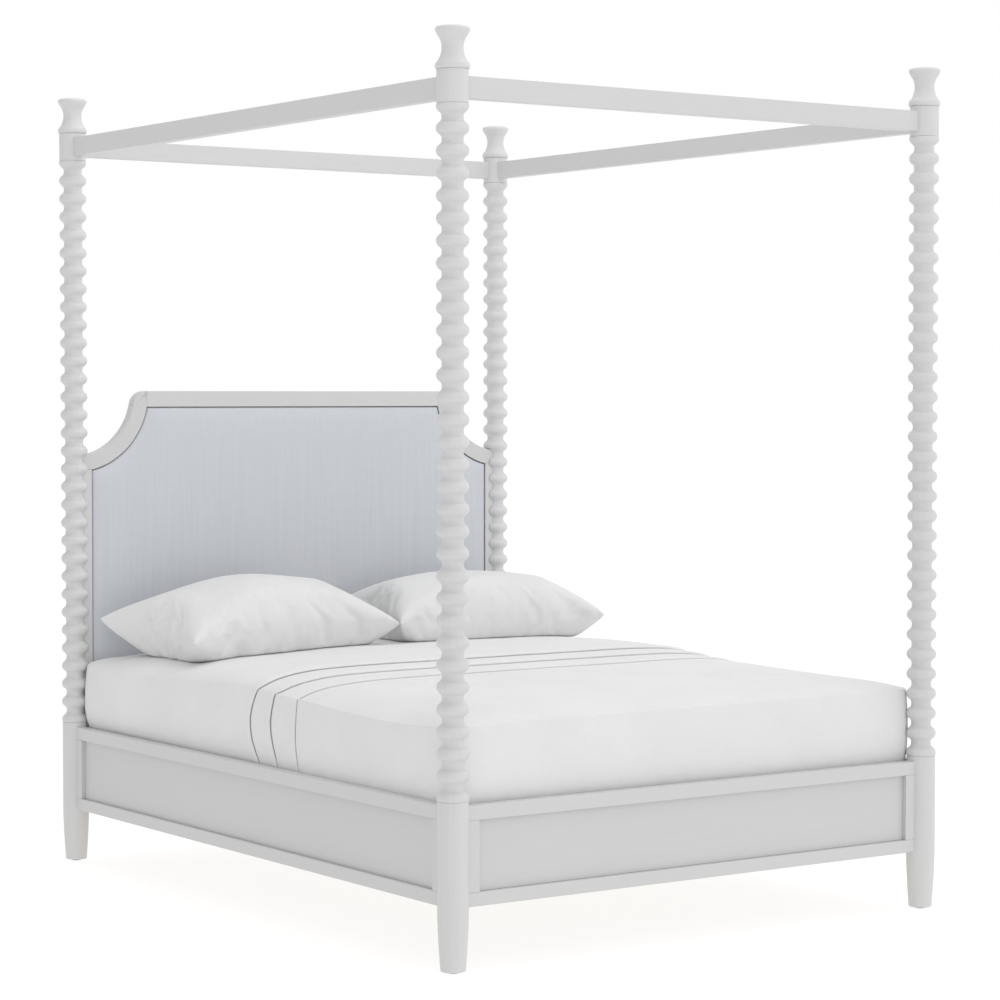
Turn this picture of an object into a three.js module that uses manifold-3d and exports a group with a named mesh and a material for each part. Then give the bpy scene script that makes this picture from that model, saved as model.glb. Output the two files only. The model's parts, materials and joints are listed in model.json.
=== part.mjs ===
// Four poster canopy bed, queen size, with bobbin-turned posts and an upholstered headboard.
// Millimetres, +Z up. The origin is on the floor under the middle of the bed.
// The foot of the bed is at -Y, the headboard at +Y, the sleeper's right-hand side at -X.
import * as THREE from 'three';
import { mergeVertices } from 'three/addons/utils/BufferGeometryUtils.js';
import Module from 'manifold-3d';

const wasm = await Module();
wasm.setup();

// ---------------------------------------------------------------- driving dimensions
const POST_SPAN_X = 1580;         // between post centres, across the bed
const POST_SPAN_Y = 2096;         // between post centres, along the bed
const BOARD = 32;                 // thickness of every rail and of the headboard frame
const GAP = 0.3;                  // clearance left between pieces that touch

const GLIDE_RADIUS = 14;
const GLIDE_HEIGHT = 4;
const LEG_RADIUS = 40;
const FOOT_RADIUS = 32;
const LEG_TOP = 430;
const TAPER_TOP = 165;            // the leg is round and parallel above this height
const TENON_RADIUS = 14;          // turned tenon that joins the spindle to the leg
const TENON_LENGTH = 58;

const SPINDLE_TOP = 2157;
const BEAD_RADIUS = 41.4;
const NECK_RADIUS = 27.4;
const FIRST_CREST = 438;          // height of the half bead at the foot of the spindle
const LAST_CREST = 2151.7;        // height of the half bead at its top
const FULL_BEADS = 30;

const BLOCK_TOP = 2240.7;
const BLOCK_RADIUS = 40.2;
const STUD_RADIUS = 6;            // threaded stud fixed in the finial
const STUD_LENGTH = 130;
const POST_TOP = 2349;

const CANOPY_RAIL_LOW = 2170;
const CANOPY_RAIL_HIGH = 2226;

const RAIL_LOW = 162;             // bottom edge of side rails and footboard
const RAIL_HIGH = 416;            // top edge of side rails and footboard
const PANEL_LOW = 198;
const PANEL_HIGH = 379;
const STILE_EDGE = 70;            // from the post centre to the stile's inner edge
const PANEL_RECESS = 13;          // panel face set back from the rail face

const HEAD_TOP = 1452;            // top of the headboard
const HEAD_FACE = 49;             // visible width of the headboard frame
const SCOOP_RADIUS = 200;         // concave shoulder, centred on the post at HEAD_TOP
const SHOULDER_ROUND = 48;        // rounding between shoulder and top edge
const SCOOP_STEPS = 8;            // straight steps in each shoulder's arc
const PAD_GAP = 3;                // shadow gap round the upholstered pad
const PAD_BOTTOM = 433;
const PAD_BACK = 1048;
const PAD_EDGE_FRONT = 1034;
const PAD_CROWN_FRONT = 1022;

const CLEAT_TOP = 345;
const SLAT_COUNT = 14;
const SLAT_WIDTH = 68;
const SLAT_THICKNESS = 18;

const MATTRESS_HALF_X = 764;
const MATTRESS_HALF_Y = 1010;
const MATTRESS_BOTTOM = 366;
const MATTRESS_CROWN = 671;       // height of the ridge, a little above the middle
const RIDGE_Y = 120;
const SHEET_PITCH = 2;            // from one bedding layer to the next
const SHEET_THICKNESS = 1.6;
const TUCK_BOTTOM = 376;          // where the covers end, tucked behind the rails

const halfX = POST_SPAN_X / 2;
const halfY = POST_SPAN_Y / 2;
const halfBoard = BOARD / 2;

// ---------------------------------------------------------------- finishes
function finish(color, roughness, metalness = 0) {
  return new THREE.MeshStandardMaterial({ color, roughness, metalness });
}
const paint = () => finish(0xcfcecb, 0.42);
const pine = () => finish(0xd9bd8f, 0.7);
const nylon = () => finish(0x4a4a48, 0.6);
const silk = () => finish(0xc3cad2, 0.55);
const linen = () => finish(0xededec, 0.85);
const ticking = () => finish(0xe6e4df, 0.9);

// ---------------------------------------------------------------- solids and booleans
function toSolid(geometry) {
  const bare = geometry.clone();
  bare.deleteAttribute('normal');
  bare.deleteAttribute('uv');
  const merged = mergeVertices(bare, 1e-3);
  const triangles = [];
  const index = merged.index.array;
  for (let i = 0; i < index.length; i += 3) {
    const [a, b, c] = [index[i], index[i + 1], index[i + 2]];
    if (a !== b && b !== c && a !== c) triangles.push(a, b, c);
  }
  return new wasm.Manifold(new wasm.Mesh({
    numProp: 3,
    vertProperties: new Float32Array(merged.attributes.position.array),
    triVerts: new Uint32Array(triangles),
  }));
}

function fromSolid(solid) {
  const mesh = solid.getMesh();
  const geometry = new THREE.BufferGeometry();
  geometry.setAttribute('position', new THREE.BufferAttribute(new Float32Array(mesh.vertProperties), 3));
  geometry.setIndex(new THREE.BufferAttribute(new Uint32Array(mesh.triVerts), 1));
  geometry.computeVertexNormals();
  return geometry;
}

function cut(geometry, ...tools) {
  return fromSolid(tools.reduce((solid, tool) => solid.subtract(toSolid(tool)), toSolid(geometry)));
}

function join(...parts) {
  return fromSolid(parts.map(toSolid).reduce((all, part) => all.add(part)));
}

// A box from its lowest to its highest corner.
function block([x0, y0, z0], [x1, y1, z1]) {
  const geometry = new THREE.BoxGeometry(x1 - x0, y1 - y0, z1 - z0);
  return geometry.translate((x0 + x1) / 2, (y0 + y1) / 2, (z0 + z1) / 2);
}

// A solid of revolution about Z from [radius, height] pairs.
function turned(profile, segments) {
  const points = profile.map(([radius, height]) => new THREE.Vector2(radius, height));
  return new THREE.LatheGeometry(points, segments).rotateX(Math.PI / 2);
}

// A cylinder that clears a turned post of the given radius, for coping a board's end.
function copingTool(x, y, radius, low, high) {
  const sides = 32;
  const clear = (radius + GAP) / Math.cos(Math.PI / sides);
  const tool = new THREE.CylinderGeometry(clear, clear, high - low, sides).rotateX(Math.PI / 2);
  return tool.translate(x, y, (low + high) / 2);
}

// An outline in the X-Z plane extruded from y0 to y1.
function board(outline, y0, y1) {
  const shape = new THREE.Shape(outline.map(([x, z]) => new THREE.Vector2(x, z)));
  const geometry = new THREE.ExtrudeGeometry(shape, { depth: y1 - y0, bevelEnabled: false });
  return geometry.rotateX(Math.PI / 2).translate(0, y1, 0);
}

const bed = new THREE.Group();
bed.name = 'four_poster_bed';

function add(name, geometry, material) {
  const mesh = new THREE.Mesh(geometry, material);
  mesh.name = name;
  bed.add(mesh);
  return mesh;
}

// ---------------------------------------------------------------- posts
const corners = [
  { name: 'foot_left', x: -halfX, y: -halfY },
  { name: 'foot_right', x: halfX, y: -halfY },
  { name: 'head_left', x: -halfX, y: halfY },
  { name: 'head_right', x: halfX, y: halfY },
];

function legProfile() {
  const soleZ = GLIDE_HEIGHT + GAP;
  const socket = TENON_RADIUS + 2 * GAP;
  const profile = [[0, soleZ], [FOOT_RADIUS - 2.5, soleZ], [FOOT_RADIUS, soleZ + 3]];
  const taperSteps = 3;
  for (let i = 1; i <= taperSteps; i += 1) {
    const t = i / taperSteps;
    const ease = 1 - (1 - t) ** 1.5;
    profile.push([FOOT_RADIUS + (LEG_RADIUS - FOOT_RADIUS) * ease, soleZ + 3 + t * (TAPER_TOP - soleZ - 3)]);
  }
  const socketFloor = LEG_TOP - TENON_LENGTH - 2;
  profile.push([LEG_RADIUS, LEG_TOP], [socket, LEG_TOP], [socket, socketFloor], [0, socketFloor]);
  return profile;
}

// Tenon, half bead, full beads, half bead, then the socket for the finial's stud.
function spindleProfile() {
  const seat = LEG_TOP + GAP;
  const pitch = (LAST_CREST - FIRST_CREST) / (FULL_BEADS + 1);
  const studSocket = STUD_RADIUS + 2 * GAP;
  const profile = [[0, seat - TENON_LENGTH], [TENON_RADIUS, seat - TENON_LENGTH], [TENON_RADIUS, seat]];
  profile.push([LEG_RADIUS, seat]);
  for (let bead = 0; bead <= FULL_BEADS + 1; bead += 1) {
    const crest = FIRST_CREST + bead * pitch;
    profile.push([BEAD_RADIUS, crest]);
    if (bead <= FULL_BEADS) profile.push([NECK_RADIUS, crest + pitch / 2]);
  }
  const studFloor = BLOCK_TOP - STUD_LENGTH - 2;
  profile.push([LEG_RADIUS, SPINDLE_TOP], [studSocket, SPINDLE_TOP], [studSocket, studFloor], [0, studFloor]);
  return profile;
}

function blockProfile() {
  const low = SPINDLE_TOP + GAP;
  const bore = STUD_RADIUS + 2 * GAP;
  return [[bore, low], [BLOCK_RADIUS, low], [BLOCK_RADIUS, BLOCK_TOP], [bore, BLOCK_TOP], [bore, low]];
}

// Threaded stud, bulging base, narrow waist and flared cap of the finial.
function finialProfile() {
  const seat = BLOCK_TOP + GAP;
  const baseBulge = [43.5, 2247.5];
  const lip = [43.7, 2338];
  const waist = [27.2, 2293.5];
  const profile = [[0, seat - STUD_LENGTH], [STUD_RADIUS, seat - STUD_LENGTH], [STUD_RADIUS, seat]];
  profile.push([LEG_RADIUS, seat], baseBulge, [39.5, 2260]);
  const flareSteps = 4;
  for (let i = 1; i < flareSteps; i += 1) {
    const t = i / flareSteps;
    const dip = Math.sin(Math.PI * t);
    const rise = 2260 + t * (2328 - 2260);
    profile.push([39.5 - (39.5 - waist[0]) * dip ** 1.2, rise]);
  }
  profile.push([39.5, 2328], lip, [41.5, 2344], [34, POST_TOP - 2], [0, POST_TOP]);
  return profile;
}

// The beads of the head posts are notched where the headboard frame lies against the neck.
function notch(sideSign) {
  const inner = NECK_RADIUS + GAP;
  const outer = BEAD_RADIUS + 5;
  const xs = [inner, outer].map((reach) => -sideSign * reach).sort((a, b) => a - b);
  const clear = halfBoard + 2 * GAP;
  return block([xs[0], -clear, LEG_TOP - 10], [xs[1], clear, HEAD_TOP - SCOOP_RADIUS + 6]);
}

for (const { name, x, y } of corners) {
  const place = (geometry) => geometry.translate(x, y, 0);
  const glide = new THREE.CylinderGeometry(GLIDE_RADIUS, GLIDE_RADIUS, GLIDE_HEIGHT, 20).rotateX(Math.PI / 2);
  add(`glide_${name}`, place(glide.translate(0, 0, GLIDE_HEIGHT / 2)), nylon());
  add(`leg_${name}`, place(turned(legProfile(), 20)), paint());
  const spindle = turned(spindleProfile(), 10);
  const atHead = y > 0;
  add(`spindle_${name}`, place(atHead ? cut(spindle, notch(Math.sign(x))) : spindle), paint());
  add(`canopy_block_${name}`, place(turned(blockProfile(), 20)), paint());
  add(`finial_${name}`, place(turned(finialProfile(), 16)), paint());
}

// ---------------------------------------------------------------- boards between two posts
const COPE_START = 25;            // a board starts inside the post, and the coping trims it back

function coped(geometry, radius, low, high) {
  const tools = corners.map(({ x, y }) => copingTool(x, y, radius, low - 5, high + 5));
  return cut(geometry, ...tools);
}

// A board across the bed, centred on the line between two posts.
function crossBoard(y, low, high, radius) {
  const reach = halfX - COPE_START;
  const plain = block([-reach, y - halfBoard, low], [reach, y + halfBoard, high]);
  return coped(plain, radius, low, high);
}

// A board along the bed, centred on the line between two posts.
function longBoard(x, low, high, radius) {
  const reach = halfY - COPE_START;
  const plain = block([x - halfBoard, -reach, low], [x + halfBoard, reach, high]);
  return coped(plain, radius, low, high);
}

for (const [name, x] of [['left', -halfX], ['right', halfX]]) {
  add(`canopy_rail_${name}`, longBoard(x, CANOPY_RAIL_LOW, CANOPY_RAIL_HIGH, BLOCK_RADIUS), paint());
}
for (const [name, y] of [['foot', -halfY], ['head', halfY]]) {
  add(`canopy_rail_${name}`, crossBoard(y, CANOPY_RAIL_LOW, CANOPY_RAIL_HIGH, BLOCK_RADIUS), paint());
}

// ---------------------------------------------------------------- panelled side rails
for (const [side, x] of [['left', -halfX], ['right', halfX]]) {
  const out = Math.sign(x);
  add(`side_rail_${side}_top`, longBoard(x, PANEL_HIGH + GAP, RAIL_HIGH, LEG_RADIUS), paint());
  add(`side_rail_${side}_bottom`, longBoard(x, RAIL_LOW, PANEL_LOW - GAP, LEG_RADIUS), paint());
  for (const [end, way] of [['foot', -1], ['head', 1]]) {
    const ys = [way * (halfY - COPE_START), way * (halfY - STILE_EDGE)].sort((a, b) => a - b);
    const plain = block([x - halfBoard, ys[0], PANEL_LOW], [x + halfBoard, ys[1], PANEL_HIGH]);
    add(`side_stile_${side}_${end}`, coped(plain, LEG_RADIUS, PANEL_LOW, PANEL_HIGH), paint());
  }
  const xs = [x + out * (halfBoard - PANEL_RECESS), x - out * halfBoard].sort((a, b) => a - b);
  const reach = halfY - STILE_EDGE - GAP;
  add(`side_panel_${side}`, block([xs[0], -reach, PANEL_LOW], [xs[1], reach, PANEL_HIGH]), paint());
  const cleatXs = [x - out * (halfBoard + GAP), x - out * (halfBoard + 24)].sort((a, b) => a - b);
  add(`slat_cleat_${side}`, block([cleatXs[0], -970, CLEAT_TOP - 42], [cleatXs[1], 970, CLEAT_TOP]), pine());
}

// ---------------------------------------------------------------- panelled footboard
add('footboard_top_rail', crossBoard(-halfY, PANEL_HIGH + GAP, RAIL_HIGH, LEG_RADIUS), paint());
add('footboard_bottom_rail', crossBoard(-halfY, RAIL_LOW, PANEL_LOW - GAP, LEG_RADIUS), paint());
for (const [side, way] of [['left', -1], ['right', 1]]) {
  const xs = [way * (halfX - COPE_START), way * (halfX - STILE_EDGE)].sort((a, b) => a - b);
  const plain = block([xs[0], -halfY - halfBoard, PANEL_LOW], [xs[1], -halfY + halfBoard, PANEL_HIGH]);
  add(`footboard_stile_${side}`, coped(plain, LEG_RADIUS, PANEL_LOW, PANEL_HIGH), paint());
}
const footReach = halfX - STILE_EDGE - GAP;
const footPanelFront = -halfY - halfBoard + PANEL_RECESS;
add(
  'footboard_panel',
  block([-footReach, footPanelFront, PANEL_LOW], [footReach, -halfY + halfBoard, PANEL_HIGH]),
  paint(),
);

// ---------------------------------------------------------------- headboard frame
const frameFront = halfY - halfBoard;
const frameBack = halfY + halfBoard;
const stileOuter = halfX - NECK_RADIUS - 2 * GAP;
const stileInner = halfX - HEAD_FACE - PAD_GAP;
const innerScoop = SCOOP_RADIUS + HEAD_FACE;
const frameInnerTop = HEAD_TOP - HEAD_FACE;

// Points on a circle centred on the right-hand post at the headboard's top, from x0 to x1.
function scoopArc(radius, x0, x1, steps) {
  const angle = (x) => Math.acos((halfX - x) / radius);
  const [from, to] = [angle(x0), angle(x1)];
  const points = [];
  for (let i = 0; i <= steps; i += 1) {
    const a = from + ((to - from) * i) / steps;
    points.push([halfX - radius * Math.cos(a), HEAD_TOP - radius * Math.sin(a)]);
  }
  return points;
}

const cornerX = halfX - Math.sqrt(innerScoop ** 2 - HEAD_FACE ** 2);
const stileTop = HEAD_TOP - Math.sqrt(innerScoop ** 2 - (halfX - stileInner) ** 2);

// Shoulder of the headboard frame: concave outside, with a rounded upper corner.
function shoulderOutline() {
  const roundX = halfX - Math.sqrt(SCOOP_RADIUS ** 2 + 2 * SCOOP_RADIUS * SHOULDER_ROUND);
  const roundZ = HEAD_TOP - SHOULDER_ROUND;
  const tangent = Math.atan2(SHOULDER_ROUND, halfX - roundX);
  const outline = [[cornerX + GAP, frameInnerTop], [cornerX + GAP, HEAD_TOP]];
  const roundSteps = 4;
  for (let i = 0; i <= roundSteps; i += 1) {
    const a = Math.PI / 2 - ((Math.PI / 2 + tangent) * i) / roundSteps;
    outline.push([roundX + SHOULDER_ROUND * Math.cos(a), roundZ + SHOULDER_ROUND * Math.sin(a)]);
  }
  const tangentX = halfX - SCOOP_RADIUS * Math.cos(tangent);
  outline.push(...scoopArc(SCOOP_RADIUS, tangentX, stileOuter, SCOOP_STEPS).slice(1));
  outline.push([stileOuter, stileTop + GAP], [stileInner, stileTop + GAP]);
  outline.push(...scoopArc(innerScoop, cornerX, stileInner, SCOOP_STEPS).reverse().slice(1, -1));
  return outline;
}

function mirrored(outline) {
  return outline.map(([x, z]) => [-x, z]).reverse();
}

const shoulder = shoulderOutline();
add('headboard_shoulder_right', board(shoulder, frameFront, frameBack), paint());
add('headboard_shoulder_left', board(mirrored(shoulder), frameFront, frameBack), paint());
add(
  'headboard_crest_rail',
  block([-cornerX, frameFront, frameInnerTop], [cornerX, frameBack, HEAD_TOP]),
  paint(),
);
for (const [side, way] of [['left', -1], ['right', 1]]) {
  const xs = [way * stileInner, way * stileOuter].sort((a, b) => a - b);
  const stile = block([xs[0], frameFront, LEG_TOP + GAP], [xs[1], frameBack, stileTop]);
  add(`headboard_stile_${side}`, stile, paint());
}
add('headboard_bottom_rail', crossBoard(halfY, RAIL_LOW, LEG_TOP, LEG_RADIUS), paint());

// ---------------------------------------------------------------- headboard pad and its panel
const padRadius = innerScoop + PAD_GAP;

function padOutline(inset) {
  const radius = padRadius + inset;
  const side = stileInner - PAD_GAP - inset;
  const top = frameInnerTop - PAD_GAP - inset;
  const topX = halfX - Math.sqrt(radius ** 2 - (HEAD_TOP - top) ** 2);
  const right = scoopArc(radius, topX, side, SCOOP_STEPS);
  return [[-side, PAD_BOTTOM + inset], [side, PAD_BOTTOM + inset], ...[...right].reverse(), ...mirrored(right).reverse()];
}

// The pad's front is crowned: each ring of the outline is further in and further forward.
function padGeometry() {
  const rings = [
    [padOutline(0), PAD_BACK],
    [padOutline(0), PAD_EDGE_FRONT],
    [padOutline(14), PAD_CROWN_FRONT + 4],
    [padOutline(45), PAD_CROWN_FRONT],
  ];
  const count = rings[0][0].length;
  const positions = rings.flatMap(([outline, y]) => outline.flatMap(([x, z]) => [x, y, z]));
  const index = [];
  for (let ring = 0; ring + 1 < rings.length; ring += 1) {
    for (let i = 0; i < count; i += 1) {
      const j = (i + 1) % count;
      const [a, b] = [ring * count + i, ring * count + j];
      index.push(a, b, b + count, a, b + count, a + count);
    }
  }
  const last = (rings.length - 1) * count;
  const flatten = (outline) => outline.map(([x, z]) => new THREE.Vector2(x, z));
  for (const [a, b, c] of THREE.ShapeUtils.triangulateShape(flatten(rings[0][0]), [])) {
    index.push(a, c, b);
  }
  for (const [a, b, c] of THREE.ShapeUtils.triangulateShape(flatten(rings[3][0]), [])) {
    index.push(last + a, last + b, last + c);
  }
  const geometry = new THREE.BufferGeometry();
  geometry.setAttribute('position', new THREE.Float32BufferAttribute(positions, 3));
  geometry.setIndex(index);
  geometry.computeVertexNormals();
  return geometry;
}

add('headboard_pad', padGeometry(), silk());
add('headboard_back_panel', board(padOutline(-PAD_GAP + GAP), PAD_BACK + GAP, PAD_BACK + 12), paint());

// ---------------------------------------------------------------- slats and centre support
function slatRoll() {
  const reach = halfX - halfBoard - 4;
  const low = CLEAT_TOP + GAP;
  const first = -975;
  const pitch = (2 * -first) / (SLAT_COUNT - 1);
  const parts = [];
  for (let i = 0; i < SLAT_COUNT; i += 1) {
    const y = first + i * pitch;
    parts.push(block([-reach, y - SLAT_WIDTH / 2, low], [reach, y + SLAT_WIDTH / 2, low + SLAT_THICKNESS]));
  }
  for (const x of [-420, 420]) {
    parts.push(block([x - 15, first, low - 1.5], [x + 15, -first, low + 0.5]));
  }
  return join(...parts);
}
add('slat_roll', slatRoll(), pine());

const BEAM_HALF_WIDTH = 20;
const BEAM_LOW = CLEAT_TOP - 62;
const CENTRE_LEG_REACH = 300;     // from the middle of the beam to each leg, at about its thirds
const beamReach = halfY - halfBoard - GAP;
add(
  'centre_beam',
  block([-BEAM_HALF_WIDTH, -beamReach, BEAM_LOW], [BEAM_HALF_WIDTH, beamReach, CLEAT_TOP]),
  pine(),
);
for (const [name, y] of [['foot', -CENTRE_LEG_REACH], ['head', CENTRE_LEG_REACH]]) {
  const support = new THREE.CylinderGeometry(22, 18, BEAM_LOW - GAP, 16).rotateX(Math.PI / 2);
  add(`centre_leg_${name}`, support.translate(0, y, (BEAM_LOW - GAP) / 2), pine());
}

// ---------------------------------------------------------------- mattress and bedding
// A corner-rounded rectangle, anticlockwise from the +X side.
function planOutline(inset, radius) {
  const points = [];
  const cornerSteps = 3;
  const [a, b] = [MATTRESS_HALF_X - inset, MATTRESS_HALF_Y - inset];
  for (let quarter = 0; quarter < 4; quarter += 1) {
    const [sx, sy] = [[1, 1], [-1, 1], [-1, -1], [1, -1]][quarter];
    for (let i = 0; i <= cornerSteps; i += 1) {
      const angle = ((quarter + i / cornerSteps) * Math.PI) / 2;
      points.push([sx * (a - radius) + radius * Math.cos(angle), sy * (b - radius) + radius * Math.sin(angle)]);
    }
    const middle = [[0, b], [-a, 0], [0, -b], [a, 0]][quarter];
    const ridge = quarter % 2 === 1 ? [middle[0], RIDGE_Y] : middle;
    points.push(ridge);
  }
  return points;
}

// Height of the mattress top: a long low ridge across the bed, rolled over at the edges.
function topHeight(x, y) {
  const away = Math.abs(y - RIDGE_Y);
  const ridge = MATTRESS_CROWN - (0.043 * away * away) / (away + 120);
  const roll = (share, power, drop) => drop * (1 - Math.sqrt(Math.max(0, 1 - share ** power)));
  return ridge - roll(Math.abs(x) / MATTRESS_HALF_X, 6, 50) - roll(Math.abs(y) / MATTRESS_HALF_Y, 16, 30);
}

// The mattress grown by an offset, from which every bedding layer is made.
function slab(offset) {
  const grow = (points) => points.map(([x, y]) => [
    x * (1 + offset / MATTRESS_HALF_X),
    y * (1 + offset / MATTRESS_HALF_Y),
  ]);
  const edge = planOutline(0, 50);
  const rings = [];
  for (const share of [0.45, 0.75, 0.9, 0.965, 1]) {
    const inner = edge.map(([x, y]) => [x * share, y * share]);
    const heights = inner.map(([x, y]) => topHeight(x, y) + offset);
    rings.push(grow(inner).map(([x, y], i) => [x, y, heights[i]]));
  }
  for (const [inset, z] of [[0, 535], [0, 430], [6, 392], [16, MATTRESS_BOTTOM - offset]]) {
    rings.push(grow(planOutline(inset, 50)).map(([x, y]) => [x, y, z]));
  }
  const count = edge.length;
  const positions = rings.flat(2);
  const top = positions.length / 3;
  positions.push(0, RIDGE_Y, MATTRESS_CROWN + offset, 0, 0, MATTRESS_BOTTOM - offset);
  const index = [];
  const last = (rings.length - 1) * count;
  for (let i = 0; i < count; i += 1) {
    const j = (i + 1) % count;
    index.push(top, i, j, top + 1, last + j, last + i);
    for (let ring = 0; ring + 1 < rings.length; ring += 1) {
      const [a, b] = [ring * count + i, ring * count + j];
      index.push(a, a + count, b + count, a, b + count, b);
    }
  }
  const geometry = new THREE.BufferGeometry();
  geometry.setAttribute('position', new THREE.Float32BufferAttribute(positions, 3));
  geometry.setIndex(index);
  geometry.computeVertexNormals();
  return geometry;
}

add('mattress', slab(0), ticking());

// One bedding layer is the skin between two slabs; layer 1 lies on the mattress.
function skin(layer, ...openings) {
  const outer = layer * SHEET_PITCH;
  return cut(slab(outer), slab(outer - SHEET_THICKNESS), ...openings);
}

const under = block([-700, -945, 340], [700, 945, MATTRESS_BOTTOM - 0.1]);
add('fitted_sheet', skin(1, under), linen());

const covers = [
  { name: 'flat_sheet', layer: 2, edge: -15 },
  { name: 'blanket', layer: 3, edge: -125 },
  { name: 'coverlet', layer: 4, edge: -245 },
];
for (const { name, layer, edge } of covers) {
  const headEnd = block([-900, edge, 300], [900, 1200, 800]);
  const tuck = block([-900, -1200, 300], [900, 1200, TUCK_BOTTOM]);
  add(name, skin(layer, headEnd, tuck), linen());
}

// ---------------------------------------------------------------- pillows
// A filled case: two crowned faces that meet in a seam whose sides pull in between the corners.
function pillow({ width, depth, above, below }) {
  const [nu, nv] = [12, 8];
  const pull = 0.05;
  const grid = (u, v) => [(width / 2) * u * (1 - pull * (1 - v * v)), (depth / 2) * v * (1 - pull * (1 - u * u))];
  const plump = (u, v) => ((1 - u ** 4) * (1 - v ** 4)) ** 0.55;
  const positions = [];
  for (const face of [above, -below]) {
    for (let i = 0; i <= nu; i += 1) {
      for (let j = 0; j <= nv; j += 1) {
        const [u, v] = [(2 * i) / nu - 1, (2 * j) / nv - 1];
        positions.push(...grid(u, v), face * plump(u, v));
      }
    }
  }
  const index = [];
  const faceSize = (nu + 1) * (nv + 1);
  for (let i = 0; i < nu; i += 1) {
    for (let j = 0; j < nv; j += 1) {
      const a = i * (nv + 1) + j;
      const b = a + nv + 1;
      index.push(a, b, b + 1, a, b + 1, a + 1);
      index.push(faceSize + a, faceSize + b + 1, faceSize + b, faceSize + a, faceSize + a + 1, faceSize + b + 1);
    }
  }
  const geometry = new THREE.BufferGeometry();
  geometry.setAttribute('position', new THREE.Float32BufferAttribute(positions, 3));
  geometry.setIndex(index);
  return geometry;
}

const pillowRest = slab(SHEET_PITCH + 1);
function laid(size, turn, tilt, lean, [x, y, z]) {
  const toRadians = Math.PI / 180;
  const geometry = pillow(size).rotateX(tilt * toRadians).rotateY(-lean * toRadians).rotateZ(turn * toRadians);
  return cut(geometry.translate(x, y, z), pillowRest);
}
const pillowLeft = { width: 720, depth: 500, above: 150, below: 95 };
const pillowRight = { width: 710, depth: 500, above: 132, below: 105 };
add('pillow_left', laid(pillowLeft, 6, 5, 1.5, [-335, 722, 737]), linen());
add('pillow_right', laid(pillowRight, -6, 1, 0, [436, 716, 742]), linen());

export default bed;
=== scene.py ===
import json
from math import acos, asin, atan2, copysign, cos, exp, log1p, pi, radians, sin, sqrt, tan

import bmesh
import bpy
import numpy as np
from mathutils import Euler, Matrix, Vector, noise


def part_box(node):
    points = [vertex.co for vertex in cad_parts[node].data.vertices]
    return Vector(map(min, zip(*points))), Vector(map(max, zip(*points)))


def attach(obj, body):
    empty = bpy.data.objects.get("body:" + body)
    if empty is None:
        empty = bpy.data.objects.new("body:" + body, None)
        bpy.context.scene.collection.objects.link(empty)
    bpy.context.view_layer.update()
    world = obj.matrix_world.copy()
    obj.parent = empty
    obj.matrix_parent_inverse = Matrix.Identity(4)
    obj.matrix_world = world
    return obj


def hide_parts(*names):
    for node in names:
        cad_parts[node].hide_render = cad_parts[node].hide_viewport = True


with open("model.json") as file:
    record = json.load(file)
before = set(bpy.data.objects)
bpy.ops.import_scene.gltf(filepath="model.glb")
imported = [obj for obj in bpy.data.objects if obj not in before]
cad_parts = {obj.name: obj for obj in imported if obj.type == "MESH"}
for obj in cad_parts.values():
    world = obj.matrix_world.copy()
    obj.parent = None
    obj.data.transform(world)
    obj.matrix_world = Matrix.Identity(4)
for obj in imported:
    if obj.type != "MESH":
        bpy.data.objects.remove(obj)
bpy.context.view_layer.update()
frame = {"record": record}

# Four poster canopy bed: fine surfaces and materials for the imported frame. Metres, +Z up, foot at -Y.
body_of_node = {n: body for body, nodes in frame["record"]["behaviour"]["bodies"].items() for n in nodes}

# ---- sizes that the boxes don't give
GAP = 0.0003                 # clearance between pieces that touch
TENON_RADIUS = 0.014
NECK_RADIUS = 0.0274
BEAD_RADIUS = 0.0414
BEAD_ARC = 0.0174            # radius of a bead's rounded rim, in section
COVE_ARC = 0.012             # radius of the cove between bead and neck
FULL_BEADS = 30
FIRST_CREST = 0.438          # heights of the half beads' crests at the ends of a spindle
LAST_CREST = 2.1517
BLOCK_RADIUS = 0.0402
TAPER_TOP = 0.165
FOOT_RADIUS = 0.032          # the legs narrow to this from TAPER_TOP down
STUD_RADIUS = 0.006
SOCKET_SPARE = 0.002         # room below a tenon or stud in its socket
HEAD_FACE = 0.049            # visible width of the headboard frame
SCOOP_RADIUS = 0.200
SHOULDER_ROUND = 0.048
PAD_GAP = 0.003              # between the pad and the frame round it
LAP_ON_POST = 0.006          # how far the headboard's shoulder and its notch run on past the scoop's end
CORNERS = ("foot_left", "foot_right", "head_left", "head_right")


def middle(node):
    low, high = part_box(node)
    return (low + high) / 2


def levels(node):
    """Heights of a node's lowest and highest points."""
    return [corner.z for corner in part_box(node)]


POST = {corner: middle(f"leg_{corner}").xy for corner in CORNERS}
HALF_X, HALF_Y = POST["head_right"]
LEG_LOW, LEG_TOP = levels("leg_foot_left")
LEG_RADIUS = (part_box("leg_foot_left")[1].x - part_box("leg_foot_left")[0].x) / 2


# ---- node materials
class Nodes:
    """The node tree of a material or world, built by small calls."""

    def __init__(self, owner):
        owner.use_nodes = True
        self.tree = owner.node_tree

    def node(self, kind, **properties):
        made = self.tree.nodes.new(kind)
        for key, value in properties.items():
            setattr(made, key, value)
        return made

    def link(self, source, target):
        self.tree.links.new(source, target)

    def ranged(self, value, low, high, start=0.3, stop=0.7):
        """Low to high as the value goes from start to stop."""
        made = self.node("ShaderNodeMapRange")
        for socket, number in (("From Min", start), ("From Max", stop), ("To Min", low), ("To Max", high)):
            made.inputs[socket].default_value = number
        self.link(value, made.inputs["Value"])
        return made.outputs["Result"]


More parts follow.
